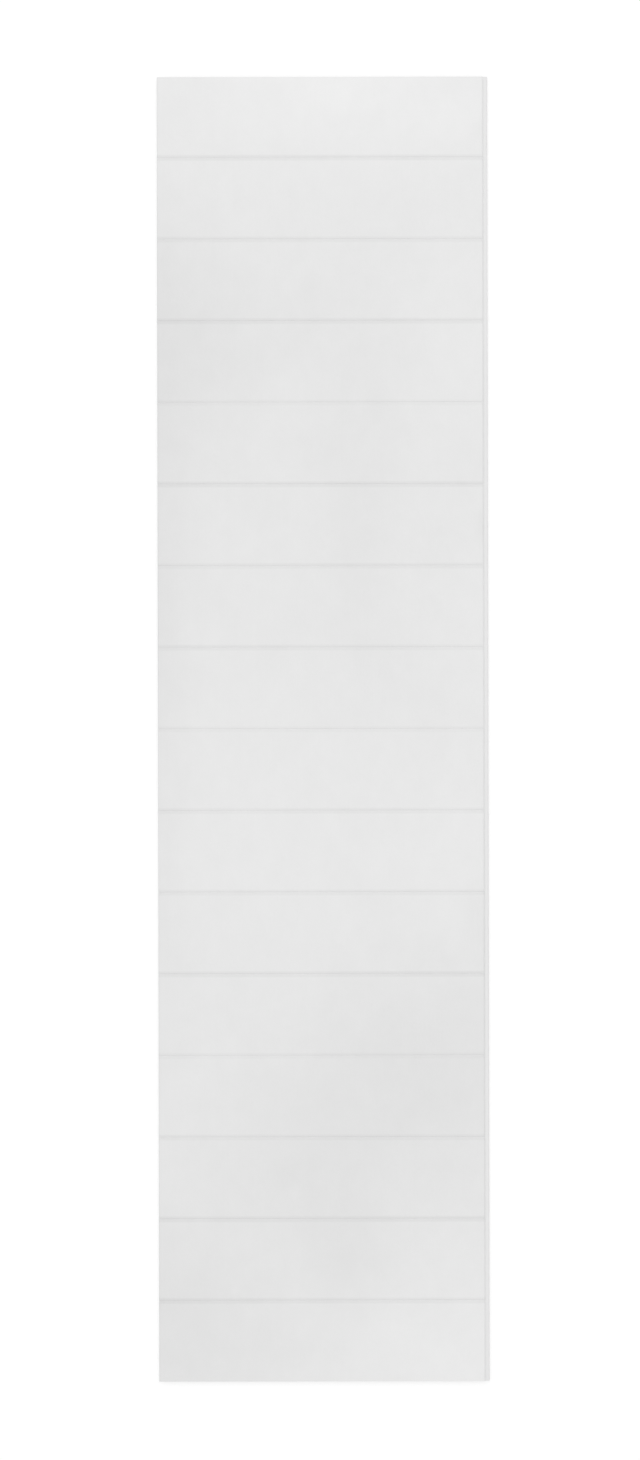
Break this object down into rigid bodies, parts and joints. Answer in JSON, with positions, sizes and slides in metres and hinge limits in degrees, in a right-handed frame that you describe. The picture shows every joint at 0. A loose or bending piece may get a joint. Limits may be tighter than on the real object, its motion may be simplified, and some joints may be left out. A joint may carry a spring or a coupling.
{
  "type": "pvc cladding panel",
  "caption": "Flat hollow PVC wall cladding panel: white tile face with pressed joint lines, a tongue along one long edge and a matching slot along the other.",
  "frame": {"origin": "middle of the back face, at half the cover width and half the length, so that panels side by side stand one cover width apart", "axes": "+X across the cover width towards the tongue, +Y along the length, +Z out of the tile face, which lies upwards"},
  "size_m": [0.608, 2.4, 0.01],
  "materials": {
    "white_pvc": "satin white, with slightly greyer joint lines"
  },
  "bodies": {
    "root": {"cladding_panel": "white_pvc"}
  },
  "joints": []
}
